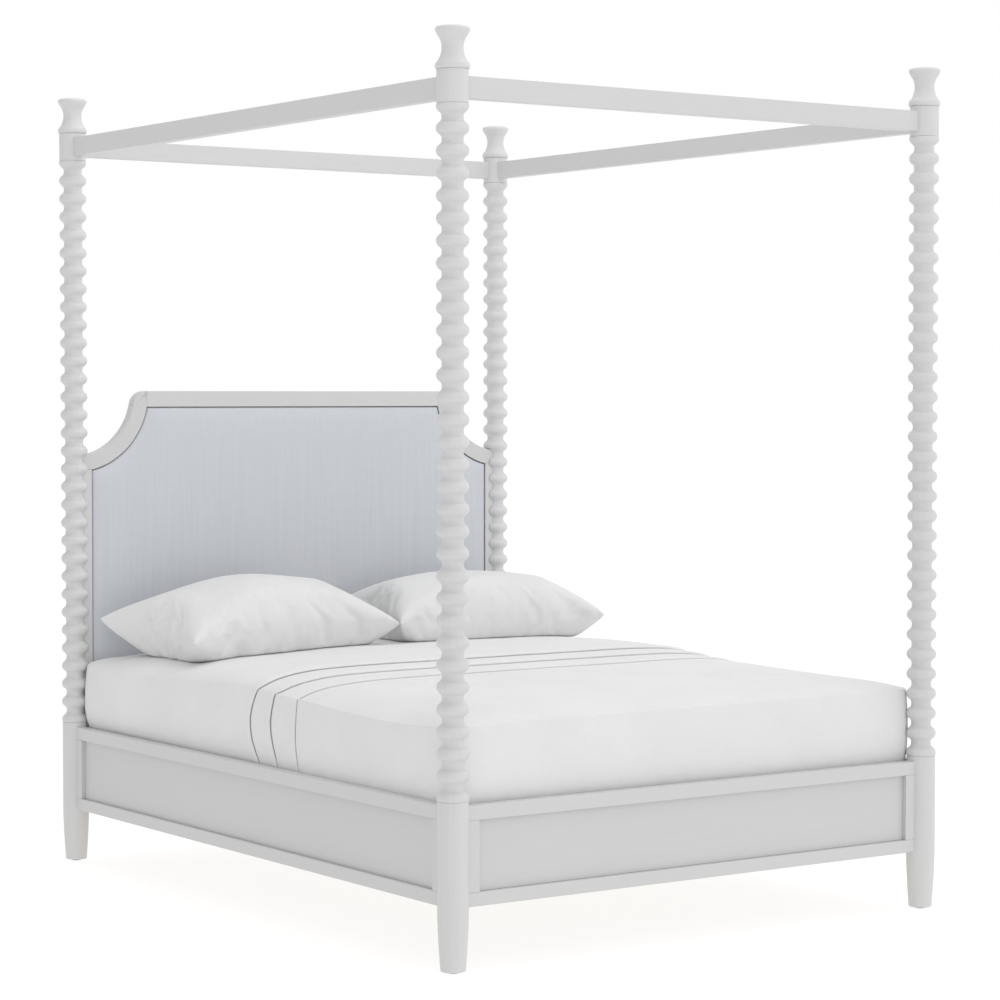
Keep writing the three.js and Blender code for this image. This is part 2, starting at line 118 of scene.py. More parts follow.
class Shader(Nodes):
    """A node material with one Principled shader."""

    def __init__(self, name, roughness, **values):
        self.material = bpy.data.materials.new(name)
        super().__init__(self.material)
        self.surface = self.tree.nodes["Principled BSDF"]
        self.surface.inputs["Roughness"].default_value = roughness
        for socket, value in values.items():
            self.surface.inputs[socket.replace("_", " ")].default_value = value
        self.place = self.node("ShaderNodeTexCoord").outputs["Object"]

    def stretched(self, scale):
        """Object coordinates scaled by a different amount along each axis."""
        mapping = self.node("ShaderNodeMapping")
        mapping.inputs["Scale"].default_value = scale
        self.link(self.place, mapping.inputs["Vector"])
        return mapping.outputs["Vector"]

    def noise(self, scale, detail=3.0, roughness=0.5, stretch=(1, 1, 1), distortion=0.0):
        made = self.node("ShaderNodeTexNoise")
        made.inputs["Scale"].default_value = scale
        made.inputs["Detail"].default_value = detail
        made.inputs["Roughness"].default_value = roughness
        made.inputs["Distortion"].default_value = distortion
        self.link(self.stretched(stretch), made.inputs["Vector"])
        return made.outputs["Fac"]

    def threads(self, direction, pitch, wobble=0.6):
        """Parallel threads: a wave whose period is the pitch, in metres."""
        made = self.node("ShaderNodeTexWave", wave_type="BANDS", bands_direction=direction)
        made.inputs["Scale"].default_value = pi / 10 / pitch
        made.inputs["Distortion"].default_value = wobble
        made.inputs["Detail"].default_value = 1.0
        self.link(self.place, made.inputs["Vector"])
        return made.outputs["Fac"]

    def mixed(self, value, amount, first, second, start=0.3, stop=0.7):
        """The first colour, with up to an amount of the second as the value goes from start to stop."""
        made = self.node("ShaderNodeMix", data_type="RGBA")
        self.link(self.ranged(value, 0, amount, start, stop), made.inputs["Factor"])
        for socket, value in ((made.inputs[6], first), (made.inputs[7], second)):
            if isinstance(value, tuple):
                socket.default_value = (*value, 1)
            else:
                self.link(value, socket)
        return made.outputs[2]

    def sum(self, *terms):
        """Adds (value, weight) terms."""
        total = None
        for value, weight in terms:
            made = self.node("ShaderNodeMath", operation="MULTIPLY_ADD")
            self.link(value, made.inputs[0])
            made.inputs[1].default_value = weight
            made.inputs[2].default_value = 0
            if total:
                self.link(total, made.inputs[2])
            total = made.outputs[0]
        return total

    def color(self, source):
        self.link(source, self.surface.inputs["Base Color"])

    def roughness(self, source):
        self.link(source, self.surface.inputs["Roughness"])

    def bump(self, source, depth, strength=1.0):
        """Bump whose height of 1 is depth metres."""
        made = self.node("ShaderNodeBump")
        made.inputs["Strength"].default_value = strength
        made.inputs["Distance"].default_value = depth
        self.link(source, made.inputs["Height"])
        self.link(made.outputs["Normal"], self.surface.inputs["Normal"])


def along_grain(axis, across, along):
    """A noise's scales for a grain that runs along one axis."""
    return [along if k == axis else across for k in range(3)]


def painted_wood(name, grain_axis, bright):
    """Satin paint over hardwood: faint grain along the piece, brushed tone and slightly rubbed edges."""
    shader = Shader(name, 0.42)
    coats = ((0.592, 0.592, 0.590), (0.618, 0.618, 0.616), (0.640, 0.640, 0.638), (0.680, 0.679, 0.676))
    # The bright factor scales every coat. Below 1 it gives a copy with painted shade, and above 1 a copy with
    # painted light.
    coats = [tuple(channel * bright for channel in coat) for coat in coats]
    stretch = along_grain(grain_axis, 95, 3.5)
    grain = shader.noise(1.0, detail=5, roughness=0.6, stretch=stretch, distortion=0.4)
    tone = shader.noise(2.3, detail=2)
    film = shader.noise(420, detail=2)
    body = shader.mixed(grain, 1, coats[0], coats[1])
    body = shader.mixed(tone, 0.35, body, coats[2])
    edge = shader.node("ShaderNodeNewGeometry").outputs["Pointiness"]
    shader.color(shader.mixed(edge, 0.45, body, coats[3], start=0.53, stop=0.60))
    relief = shader.sum((grain, 0.6), (film, 0.4))
    shader.roughness(shader.ranged(relief, 0.36, 0.50))
    shader.bump(relief, 0.00018, 0.5)
    return shader.material


def headboard_silk():
    """Pale blue-grey silk and linen: upright slubs over a fine plain weave, with a soft sheen."""
    shader = Shader("headboard_silk", 0.46, Sheen_Weight=0.25, Sheen_Roughness=0.4, Specular_IOR_Level=0.45)
    slub = shader.noise(1.0, detail=4, roughness=0.65, stretch=(230, 230, 3.0))
    broad = shader.noise(1.0, detail=2, stretch=(38, 38, 1.2))
    weft = shader.noise(1.0, detail=3, stretch=(9, 9, 520))
    body = shader.mixed(slub, 1, (0.522, 0.542, 0.580), (0.586, 0.605, 0.644))
    body = shader.mixed(broad, 0.5, body, (0.562, 0.580, 0.630))
    shader.color(shader.mixed(weft, 0.25, body, (0.622, 0.638, 0.662)))
    shader.roughness(shader.ranged(shader.sum((slub, 0.7), (weft, 0.3)), 0.38, 0.56))
    warp = shader.threads("X", 0.0007)
    cross = shader.threads("Z", 0.0007)
    shader.bump(shader.sum((slub, 1.6), (weft, 0.5), (warp, 0.25), (cross, 0.25)), 0.00016, 0.7)
    return shader.material


def cotton(name, bright, crumple):
    """Washed white percale: fine weave, soft crumples and a slightly uneven tone."""
    shader = Shader(name, 0.82, Sheen_Weight=0.12, Sheen_Roughness=0.5, Specular_IOR_Level=0.25)
    tone = shader.noise(5.0, detail=4, roughness=0.6)
    fleck = shader.noise(260, detail=2)
    full, dim, dark = ((bright * share,) * 3 for share in (1, 0.955, 0.92))
    mottled = shader.mixed(tone, 1, dim, full)
    shader.color(shader.mixed(fleck, 0.22, mottled, dark))
    shader.roughness(shader.ranged(fleck, 0.76, 0.88))
    crease = shader.noise(crumple, detail=5, roughness=0.58, distortion=0.9)
    fine = shader.noise(crumple * 3.4, detail=3, distortion=0.5)
    warp = shader.threads("X", 0.0006)
    weft = shader.threads("Y", 0.0006)
    shader.bump(shader.sum((crease, 1.0), (fine, 0.22), (warp, 0.02), (weft, 0.02)), 0.0042, 0.75)
    return shader.material


def ticking():
    """Off-white mattress ticking with a soft quilted relief and narrow woven stripes."""
    shader = Shader("mattress_ticking", 0.88, Sheen_Weight=0.1)
    stripe = shader.threads("X", 0.024, wobble=0.0)
    puff = shader.noise(22, detail=1)
    weave = shader.noise(700, detail=2)
    body = shader.mixed(weave, 1, (0.70, 0.68, 0.64), (0.79, 0.78, 0.75))
    shader.color(shader.mixed(stripe, 0.5, body, (0.45, 0.50, 0.58), start=0.9, stop=1.0))
    shader.bump(shader.sum((puff, 1.0), (weave, 0.05)), 0.004, 0.8)
    return shader.material


def pine(grain_axis):
    """Bare planed pine: warm growth rings stretched along the board, with darker late wood."""
    shader = Shader(f"slat_pine_{'xyz'[grain_axis]}", 0.62)
    rings = shader.noise(1.0, detail=3, stretch=along_grain(grain_axis, 34, 0.9), distortion=1.6)
    fibre = shader.noise(1.0, detail=3, stretch=along_grain(grain_axis, 520, 9))
    body = shader.mixed(rings, 1, (0.74, 0.56, 0.34), (0.60, 0.40, 0.20), start=0.35, stop=0.65)
    shader.color(shader.mixed(fibre, 0.35, body, (0.78, 0.62, 0.42)))
    shader.roughness(shader.ranged(fibre, 0.52, 0.72))
    shader.bump(shader.sum((rings, 0.4), (fibre, 0.6)), 0.0003, 0.6)
    return shader.material


def nylon():
    """Dark moulded nylon with a fine spark-eroded texture and scuffs."""
    shader = Shader("glide_nylon", 0.55)
    grit = shader.noise(1900, detail=2)
    scuff = shader.noise(1.0, detail=4, stretch=(60, 420, 60))
    shader.color(shader.mixed(scuff, 0.6, (0.055, 0.055, 0.052), (0.13, 0.13, 0.12), start=0.5, stop=0.75))
    shader.roughness(shader.ranged(scuff, 0.45, 0.7))
    shader.bump(grit, 0.00012, 0.6)
    return shader.material


def webbing():
    """Woven cotton strap: ribs across its width."""
    shader = Shader("slat_webbing", 0.85)
    ribs = shader.threads("Y", 0.0022, wobble=0.3)
    thread = shader.noise(900, detail=2)
    shader.color(shader.mixed(ribs, 1, (0.55, 0.52, 0.46), (0.72, 0.70, 0.64), start=0, stop=1))
    shader.bump(shader.sum((ribs, 1.0), (thread, 0.3)), 0.0005, 0.8)
    return shader.material


# Each finish is a slot of the record with its material. Boards have one for each direction of their grain.
# The boards' paint is the same paint made darker (0.96): painted shade.
PAINT = [("painted_wood", painted_wood(f"painted_wood_{'xyz'[axis]}", axis, 0.96)) for axis in range(3)]
# The turned pieces' paint is the same paint made lighter (1.05): painted light.
LIT_TURNED_PAINT = ("painted_wood", painted_wood("painted_wood_turned_lit", 2, 1.05))
PINE = [("slat_pine", pine(axis)) for axis in range(3)]
SILK = ("headboard_silk", headboard_silk())
LINEN = ("bed_linen", cotton("bed_linen", 0.800, 7.0))
PILLOW_COTTON = ("pillow_cotton", cotton("pillow_cotton", 0.765, 13.0))
TICKING = ("mattress_ticking", ticking())
NYLON = ("nylon", nylon())
WEBBING = ("mattress_ticking", webbing())


# ---- mesh helpers
def placed(name, data):
    """A new object in the scene that shows this data."""
    made = bpy.data.objects.new(name, data)
    bpy.context.scene.collection.objects.link(made)
    return made


def band(first, second):
    """The faces between two closed loops of point numbers."""
    ends = list(zip(first, second))
    return [(a, b, d, c) for (a, c), (b, d) in zip(ends, ends[1:] + ends[:1])]


def new_mesh(name, points, faces):
    mesh = bpy.data.meshes.new(name)
    mesh.from_pydata([tuple(point) for point in points], [], faces)
    return mesh


def mesh_object(name, points, faces, smooth_angle=38):
    """A mesh whose normals point out and whose edges sharper than the angle stay crisp."""
    mesh = new_mesh(name, points, faces)
    work = bmesh.new()
    work.from_mesh(mesh)
    bmesh.ops.recalc_face_normals(work, faces=work.faces)
    work.to_mesh(mesh)
    work.free()
    mesh.shade_smooth()
    mesh.set_sharp_from_angle(angle=radians(smooth_angle))
    return placed(name, mesh)


def stacked(name, loops, smooth_angle=38):
    """A closed mesh through equal loops of points, with a flat face on the first and the last."""
    size = len(loops[0])
    rings = [list(range(k * size, (k + 1) * size)) for k in range(len(loops))]
    faces = [tuple(rings[0]), tuple(reversed(rings[-1]))]
    for first, second in zip(rings, rings[1:]):
        faces += band(first, second)
    return mesh_object(name, [point for loop in loops for point in loop], faces, smooth_angle)


def stand_for(piece, node, finish):
    """The piece shows instead of the node, on the same body, in a finish."""
    slot, material = finish
    piece.data.materials.append(material)
    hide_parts(node)
    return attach(piece, body_of_node[node])


def weighted(piece):
    """Keeps large flat faces flat next to their eased edges."""
    modifier = piece.modifiers.new("face_weighted", "WEIGHTED_NORMAL")
    modifier.keep_sharp = True
    return piece


def rounded(points):
    """A path of (a, b, radius) corners, each turned into an arc of that radius."""
    path, steps = [], 4
    for i, (a, b, radius) in enumerate(points):
        if radius == 0:
            path.append((a, b))
            continue
        here = Vector((a, b))
        back = (Vector(points[i - 1][:2]) - here).normalized()
        ahead = (Vector(points[i + 1][:2]) - here).normalized()
        half = back.angle(ahead) / 2
        centre = here + (back + ahead).normalized() * radius / sin(half)
        start = here + back * radius / tan(half) - centre
        stop = here + ahead * radius / tan(half) - centre
        first = atan2(start.y, start.x)
        sweep = (atan2(stop.y, stop.x) - first + pi) % (2 * pi) - pi
        for k in range(steps + 1):
            angle = first + sweep * k / steps
            path.append((centre.x + radius * cos(angle), centre.y + radius * sin(angle)))
    return path


def turned(name, profile, centre, segments, closed=False):
    """Solid of revolution about a vertical line through centre; the profile is (radius, height) pairs."""
    points, rings, faces = [], [], []
    for radius, height in profile:
        first = len(points)
        if radius == 0:
            points.append((centre[0], centre[1], height))
            rings.append([first])
            continue
        for k in range(segments):
            angle = 2 * pi * k / segments
            way = (cos(angle), sin(angle))
            points.append((centre[0] + radius * way[0], centre[1] + radius * way[1], height))
        rings.append(list(range(first, first + segments)))
    pairs = zip(rings, rings[1:] + rings[:1]) if closed else zip(rings, rings[1:])
    for lower, upper in pairs:
        if len(lower) == 1:
            faces += [(lower[0], upper[k], upper[k - 1]) for k in range(segments)]
        elif len(upper) == 1:
            faces += [(lower[k - 1], lower[k], upper[0]) for k in range(segments)]
        else:
            faces += band(lower, upper)
    return mesh_object(name, points, faces)


def section_half(half, level, ease, way):
    """Upper (way 1) or lower (way -1) half of a board's rounded section, as (across, height) pairs."""
    corner_steps, flat_steps = 3, 6
    angles = [pi / 2 * k / corner_steps for k in range(corner_steps + 1)]
    left = [(-half + ease * (1 - cos(a)), level - way * ease * (1 - sin(a))) for a in angles]
    right = [(-u, v) for u, v in reversed(left)]
    flat = half - ease
    inner = [(-flat + 2 * flat * k / flat_steps, level) for k in range(1, flat_steps)]
    return left + inner + right


def loft_board(name, along, line, low, high, half, ends, eases, end_ease=0.0008):
    """A board along X or Y with eased edges, the lower pair first.

    Each end is a place, or (post centre, radius) to fit a round post."""
    points, loops, faces = [], [], []
    least = 0.0002

    def end_loops(end, way):
        """Loops at one end, from its face inward."""
        coped = isinstance(end, tuple)
        angles = (pi / 2,) if coped else (0, pi / 4, pi / 2)
        made = []
        for angle in angles:
            shrink, setback = end_ease * (1 - sin(angle)), end_ease * (1 - cos(angle))
            upper = section_half(half - shrink, high - shrink, max(eases[1] - shrink, least), 1)
            lower = section_half(half - shrink, low + shrink, max(eases[0] - shrink, least), -1)
            loop = []
            for u, z in upper + lower[::-1]:
                place = end[0] - way * sqrt(end[1] ** 2 - u * u) if coped else end - way * setback
                loop.append((place, line + u, z) if along == 0 else (line + u, place, z))
            made.append(loop)
        return made

    for loop in end_loops(ends[0], -1) + end_loops(ends[1], 1)[::-1]:
        loops.append(list(range(len(points), len(points) + len(loop))))
        points.extend(loop)
    for first, second in zip(loops, loops[1:]):
        faces += band(first, second)
    last = len(loops[0]) - 1
    for loop in (loops[0], loops[-1]):
        for k in range(last // 2):
            faces.append((loop[k], loop[k + 1], loop[last - 1 - k], loop[last - k]))
    return weighted(mesh_object(name, points, faces))


def inset(outline, distance):
    """The closed outline moved inward by a distance along its corner bisectors (anticlockwise outline)."""
    moved = []
    count = len(outline)
    for i in range(count):
        here = Vector(outline[i])
        back = (here - Vector(outline[i - 1])).normalized()
        ahead = (Vector(outline[(i + 1) % count]) - here).normalized()
        normal = Vector((-back.y - ahead.y, back.x + ahead.x)).normalized()
        reach = distance / max(0.35, normal.dot(Vector((-back.y, back.x))))
        moved.append(tuple(here + normal * reach))
    return moved


def outline_board(name, outline, front, back, ease):
    """An X-Z outline as a board between two depths, with its edges eased all round."""
    layers, steps = [], 3
    for k in range(steps + 1):
        angle = pi / 2 * k / steps
        layers.append((ease * (1 - sin(angle)), front + ease * (1 - cos(angle))))
    layers += [(shrink, back - (depth - front)) for shrink, depth in reversed(layers)]
    loops = [[(x, depth, z) for x, z in inset(outline, shrink)] for shrink, depth in layers]
    return weighted(stacked(name, loops))


def smooth_profile(points):
    """A Catmull-Rom curve through (radius, height) points."""
    path, steps = [], 5
    padded = [Vector(point) for point in (points[0], *points, points[-1])]
    for a, b, c, d in zip(padded, padded[1:], padded[2:], padded[3:]):
        for k in range(steps):
            t = k / steps
            bend = (2 * a - 5 * b + 4 * c - d) * t * t + (3 * b - a - 3 * c + d) * t ** 3
            path.append(tuple(0.5 * (2 * b + (c - a) * t + bend)))
    return path + [points[-1]]


# ---- posts
def leg_profile():
    """Eased sole, taper, straight top and the socket for the spindle's tenon."""
    socket = TENON_RADIUS + 2 * GAP
    socket_floor = levels("spindle_foot_left")[0] - SOCKET_SPARE
    taper = []
    for t in (k / 14 for k in range(15)):
        radius = FOOT_RADIUS + (LEG_RADIUS - FOOT_RADIUS) * (1 - (1 - t) ** 1.6)
        taper.append((radius, LEG_LOW + 0.003 + t * (TAPER_TOP - LEG_LOW)))
    sole_top = LEG_LOW + 0.006
    sole = rounded([(0, LEG_LOW, 0), (FOOT_RADIUS, LEG_LOW, 0.0028), (FOOT_RADIUS + 0.0002, sole_top, 0)])
    top = rounded([(LEG_RADIUS, LEG_TOP - 0.05, 0), (LEG_RADIUS, LEG_TOP, 0.0011), (socket, LEG_TOP, 0.0005),
                   (socket, socket_floor, 0), (0, socket_floor, 0)])
    return sole[:-1] + [point for point in taper if point[1] > sole_top] + top


def bead_side():
    """From crest to neck: (distance along the post, radius)."""
    rim = BEAD_RADIUS - BEAD_ARC
    cove = NECK_RADIUS + COVE_ARC
    turn = asin((cove - rim) / (BEAD_ARC + COVE_ARC))
    reach = sqrt((BEAD_ARC + COVE_ARC) ** 2 - (cove - rim) ** 2)
    side = []
    for k in range(6):
        angle = pi / 2 + (turn - pi / 2) * k / 6
        side.append((BEAD_ARC * cos(angle), rim + BEAD_ARC * sin(angle)))
    for k in range(6):
        angle = turn + (pi / 2 - turn) * k / 5
        side.append((reach - COVE_ARC * cos(angle), cove - COVE_ARC * sin(angle)))
    return side


def spindle_profile():
    """Tenon, half bead, full beads, half bead and the socket for the finial's stud."""
    low, high = levels("spindle_foot_left")
    seat = LEG_TOP + GAP
    pitch = (LAST_CREST - FIRST_CREST) / (FULL_BEADS + 1)
    side = bead_side()
    profile = rounded([(0, low, 0), (TENON_RADIUS, low, 0.0015), (TENON_RADIUS, seat, 0),
                       (LEG_RADIUS - 0.0008, seat, 0)])
    profile += rounded([(LEG_RADIUS - 0.0008, seat, 0), (LEG_RADIUS + 0.0004, seat + 0.001, 0.001),
                        (BEAD_RADIUS, FIRST_CREST - 0.002, 0)])[1:]
    for bead in range(FULL_BEADS + 2):
        crest = FIRST_CREST + bead * pitch
        if bead > 0:
            profile += [(radius, crest - away) for away, radius in reversed(side[1:])]
        profile.append((BEAD_RADIUS, crest))
        if bead <= FULL_BEADS:
            profile += [(radius, crest + away) for away, radius in side[1:]]
    socket = STUD_RADIUS + 2 * GAP
    floor = levels("finial_foot_left")[0] - SOCKET_SPARE
    profile += rounded([(BEAD_RADIUS - 0.0004, LAST_CREST + 0.002, 0), (LEG_RADIUS, high, 0.0012),
                        (socket, high, 0), (socket, floor, 0), (0, floor, 0)])
    return profile


def block_profile():
    low, high = levels("canopy_block_foot_left")
    bore = STUD_RADIUS + 2 * GAP
    ease = 0.0012
    return rounded([(bore, low, 0), (BLOCK_RADIUS, low, ease), (BLOCK_RADIUS, high, ease), (bore, high, 0)])


def finial_profile():
    """Threaded stud, bulging base, narrow waist and flared cap."""
    low, high = levels("finial_foot_left")
    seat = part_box("canopy_block_foot_left")[1].z + GAP
    stud = [(0, low), (STUD_RADIUS - 0.001, low), (STUD_RADIUS, low + 0.001)]
    turns, pitch, depth, start = 44, 0.001, 0.0007, low + 0.002
    stud += [(STUD_RADIUS - depth * (k % 2), start + k * pitch / 2) for k in range(2 * turns)]
    stud += [(STUD_RADIUS, start + turns * pitch), (STUD_RADIUS, seat)]
    body = [(radius, seat + height) for radius, height in (
        (0.0402, 0), (0.0430, 0.0026), (0.0438, 0.0065), (0.0424, 0.0140), (0.0350, 0.0240),
        (0.0294, 0.0380), (0.0272, 0.0525), (0.0284, 0.0640), (0.0320, 0.0752), (0.0383, 0.0852),
        (0.0420, 0.0925), (0.0437, 0.0972), (0.0428, 0.1012), (0.0396, 0.1040))]
    cap = [(0.0310, high - 0.0014), (0.0160, high - 0.0003)]
    return stud + smooth_profile(body + cap) + [(0, high)]


def cut_away(piece, tool):
    """Cuts the tool's shape out of the piece and removes the tool."""
    cut = piece.modifiers.new("cut", "BOOLEAN")
    cut.operation = "DIFFERENCE"
    cut.solver = "EXACT"
    cut.object = tool
    apply_modifiers(piece)
    bpy.data.objects.remove(tool)


def notch_post(spindle, corner):
    """Cuts a head post's beads back to the neck where the headboard frame lies against it."""
    frame_low, frame_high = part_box("headboard_shoulder_right")
    neck = (POST[corner].x, NECK_RADIUS + GAP / 4)
    open_end = POST[corner].x * (1 - (BEAD_RADIUS + 0.005) / HALF_X)
    ends = (open_end, neck) if POST[corner].x > 0 else (neck, open_end)
    line, half = (frame_low.y + frame_high.y) / 2, (frame_high.y - frame_low.y) / 2 + GAP
    top = HEAD_TOP - SCOOP_RADIUS + LAP_ON_POST
    cut_away(spindle, loft_board("notch", 0, line, LEG_TOP - 0.010, top, half, ends, (0.0002, 0.0002)))


def apply_modifiers(piece):
    """Turns the evaluated shape into the piece's own mesh."""
    evaluated = piece.evaluated_get(bpy.context.evaluated_depsgraph_get())
    mesh = bpy.data.meshes.new_from_object(evaluated)
    piece.modifiers.clear()
    piece.data = mesh


def make_posts():
    low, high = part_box("glide_foot_left")
    radius = (high.x - low.x) / 2
    glide = rounded([(0, low.z, 0), (radius, low.z, 0.0012), (radius, high.z, 0.0004), (0, high.z, 0)])
    for corner in CORNERS:
        centre = POST[corner]
        stand_for(turned(f"fine_glide_{corner}", glide, centre, 32), f"glide_{corner}", NYLON)
        for part, profile in (("leg", leg_profile), ("spindle", spindle_profile),
                              ("canopy_block", block_profile), ("finial", finial_profile)):
            node = f"{part}_{corner}"
            segments = 48 if part == "spindle" else 64
            piece = turned(f"fine_{node}", profile(), centre, segments, closed=part == "canopy_block")
            if part == "spindle" and corner.startswith("head"):
                notch_post(piece, corner)
            # Turned pieces take the lighter copy of the paint, which carries painted light.
            stand_for(piece, node, LIT_TURNED_PAINT)


# ---- rails, stiles and panels
def fine_board(node, along, copes=(0, 0), eases=(0.0008, 0.0008), grain=None, wood=PAINT):
    """Replaces a CAD board. A cope is the radius of the post that its end fits, or 0 for a square end."""
    low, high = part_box(node)
    across = 1 - along
    half_span = (HALF_X, HALF_Y)[along]
    ends = []
    for way, flat, radius in ((-1, low[along], copes[0]), (1, high[along], copes[1])):
        ends.append((way * half_span, radius + GAP) if radius else flat)
    piece = loft_board(f"fine_{node}", along, (low[across] + high[across]) / 2, low.z, high.z,
                       (high[across] - low[across]) / 2, ends, eases)
    return stand_for(piece, node, wood[along if grain is None else grain])


def make_rails():
    """Rails above a panel have their upper edges rounded more, and rails below it their lower edges."""
    upper, lower, stile = (0.0008, 0.0022), (0.0022, 0.0008), (0.0006, 0.0006)
    legs = (LEG_RADIUS, LEG_RADIUS)
    for name, along in (("left", 1), ("right", 1), ("foot", 0), ("head", 0)):
        fine_board(f"canopy_rail_{name}", along, (BLOCK_RADIUS, BLOCK_RADIUS), (0.0018, 0.0018))
    for side in ("left", "right"):
        fine_board(f"side_rail_{side}_top", 1, legs, upper)
        fine_board(f"side_rail_{side}_bottom", 1, legs, lower)
        fine_board(f"side_stile_{side}_foot", 1, (LEG_RADIUS, 0), stile, grain=2)
        fine_board(f"side_stile_{side}_head", 1, (0, LEG_RADIUS), stile, grain=2)
        fine_board(f"side_panel_{side}", 1)
        fine_board(f"slat_cleat_{side}", 1, wood=PINE)
    for end, radius in (("foot", LEG_RADIUS), ("head", NECK_RADIUS)):
        fine_board(f"{end}board_stile_left", 0, (radius, 0), stile, grain=2)
        fine_board(f"{end}board_stile_right", 0, (0, radius), stile, grain=2)
        fine_board(f"{end}board_bottom_rail", 0, legs, lower)
    fine_board("footboard_top_rail", 0, legs, upper)
    fine_board("footboard_panel", 0)
    fine_board("headboard_crest_rail", 0, eases=(0.0010, 0.0022))


# ---- headboard shoulders and pad
CREST_END, FRAME_BACK, HEAD_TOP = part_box("headboard_crest_rail")[1]
FRAME_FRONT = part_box("headboard_crest_rail")[0].y
STILE_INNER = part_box("headboard_stile_right")[0].x
STILE_OUTER, _, STILE_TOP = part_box("headboard_stile_right")[1]
INNER_SCOOP = SCOOP_RADIUS + HEAD_FACE


def scoop_arc(radius, x0, x1, steps):
    """Circle round the right-hand post at the headboard's top, from x0 to x1, as (x, z)."""
    start = acos((HALF_X - x0) / radius)
    stop = acos((HALF_X - x1) / radius)
    angles = [start + (stop - start) * k / steps for k in range(steps + 1)]
    return [(HALF_X - radius * cos(a), HEAD_TOP - radius * sin(a)) for a in angles]


def mirrored(outline):
    return [(-x, z) for x, z in reversed(outline)]


def shoulder_outline():
    """Concave shoulder with a rounded upper corner, for the right-hand side, anticlockwise."""
    round_x = HALF_X - sqrt(SCOOP_RADIUS ** 2 + 2 * SCOOP_RADIUS * SHOULDER_ROUND)
    round_z = HEAD_TOP - SHOULDER_ROUND
    tangent = atan2(SHOULDER_ROUND, HALF_X - round_x)
    left = CREST_END + GAP
    outline = [(left, HEAD_TOP - HEAD_FACE), (left, HEAD_TOP)]
    for k in range(17):
        angle = pi / 2 - (pi / 2 + tangent) * k / 16
        out, up = SHOULDER_ROUND * cos(angle), SHOULDER_ROUND * sin(angle)
        outline.append((round_x + out, round_z + up))
    tangent_x = HALF_X - SCOOP_RADIUS * cos(tangent)
    outer = STILE_OUTER + LAP_ON_POST - 0.0002
    outline += scoop_arc(SCOOP_RADIUS, tangent_x, outer, 36)[1:]
    outline += [(outer, STILE_TOP + GAP), (STILE_INNER, STILE_TOP + GAP)]
    outline += scoop_arc(INNER_SCOOP, left, STILE_INNER, 36)[::-1][1:-1]
    return outline[::-1]


def pad_outline(shrink):
    """The pad's outline, set in by a distance, anticlockwise from its lower left corner."""
    arc_steps, side_steps, top_steps = 40, 24, 30
    low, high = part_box("headboard_pad")
    radius = INNER_SCOOP + PAD_GAP + shrink
    side = high.x - shrink
    top = high.z - shrink
    top_x = HALF_X - sqrt(radius ** 2 - (HEAD_TOP - top) ** 2)
    arc = scoop_arc(radius, top_x, side, arc_steps)
    arc_low = arc[-1][1]
    foot = low.z + shrink
    bottom = [(-side + 2 * side * k / top_steps, foot) for k in range(top_steps)]
    right = [(side, foot + (arc_low - foot) * k / side_steps) for k in range(side_steps)]
    top_edge = [(top_x - 2 * top_x * k / top_steps, top) for k in range(1, top_steps)]
    left = [(-side, arc_low + (foot - arc_low) * k / side_steps) for k in range(1, side_steps)]
    return bottom + right + arc[::-1] + top_edge + mirrored(arc[::-1]) + left


def make_pad():
    """Stuffed pad: full in the middle, rolled over at its edges, with a mitre crease in from each corner."""
    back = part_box("headboard_pad")[1].y
    thickness, crown, roll_radius, fullness, unevenness = 0.0140, 0.0135, 0.005, 0.032, 0.0011
    insets = (0, 0.0008, 0.0025, 0.005, 0.008, 0.012, 0.017, 0.023, 0.030, 0.038, 0.048, 0.06, 0.075, 0.095,
              0.12, 0.15, 0.19, 0.24, 0.30)
    rings = [(0.0, back), (0.0, back - 0.010)]
    for distance in insets:
        near = min(1, distance / roll_radius)
        roll = roll_radius * (1 - sqrt(near * (2 - near)))
        rings.append((distance, back - thickness + roll - crown * (1 - exp(-distance / fullness))))
    loops = []
    for distance, depth in rings:
        swell = unevenness * min(1, distance / 0.04)
        loops.append([(x, depth + swell * noise.noise(Vector((x * 4.1, 3.7, z * 3.3))), z)
                      for x, z in pad_outline(distance)])
    pad = stacked("upholstered_pad", loops, smooth_angle=75)
    stand_for(pad, "headboard_pad", SILK)


def make_headboard():
    for side, outline in (("right", shoulder_outline()), ("left", mirrored(shoulder_outline()))):
        shoulder = outline_board(f"fine_headboard_shoulder_{side}", outline, FRAME_FRONT, FRAME_BACK, 0.0014)
        radius, foot, top = NECK_RADIUS + GAP, STILE_TOP - 0.02, STILE_TOP + 0.06
        neck = [(0, foot), (radius, foot), (radius, top), (0, top)]
        cut_away(shoulder, turned("neck", neck, POST[f"head_{side}"], 96))
        stand_for(shoulder, f"headboard_shoulder_{side}", PAINT[0])
    low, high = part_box("headboard_back_panel")
    panel = outline_board("fine_headboard_back_panel", pad_outline(GAP - PAD_GAP), low.y, high.y, 0.0008)
    stand_for(panel, "headboard_back_panel", PAINT[0])
    make_pad()


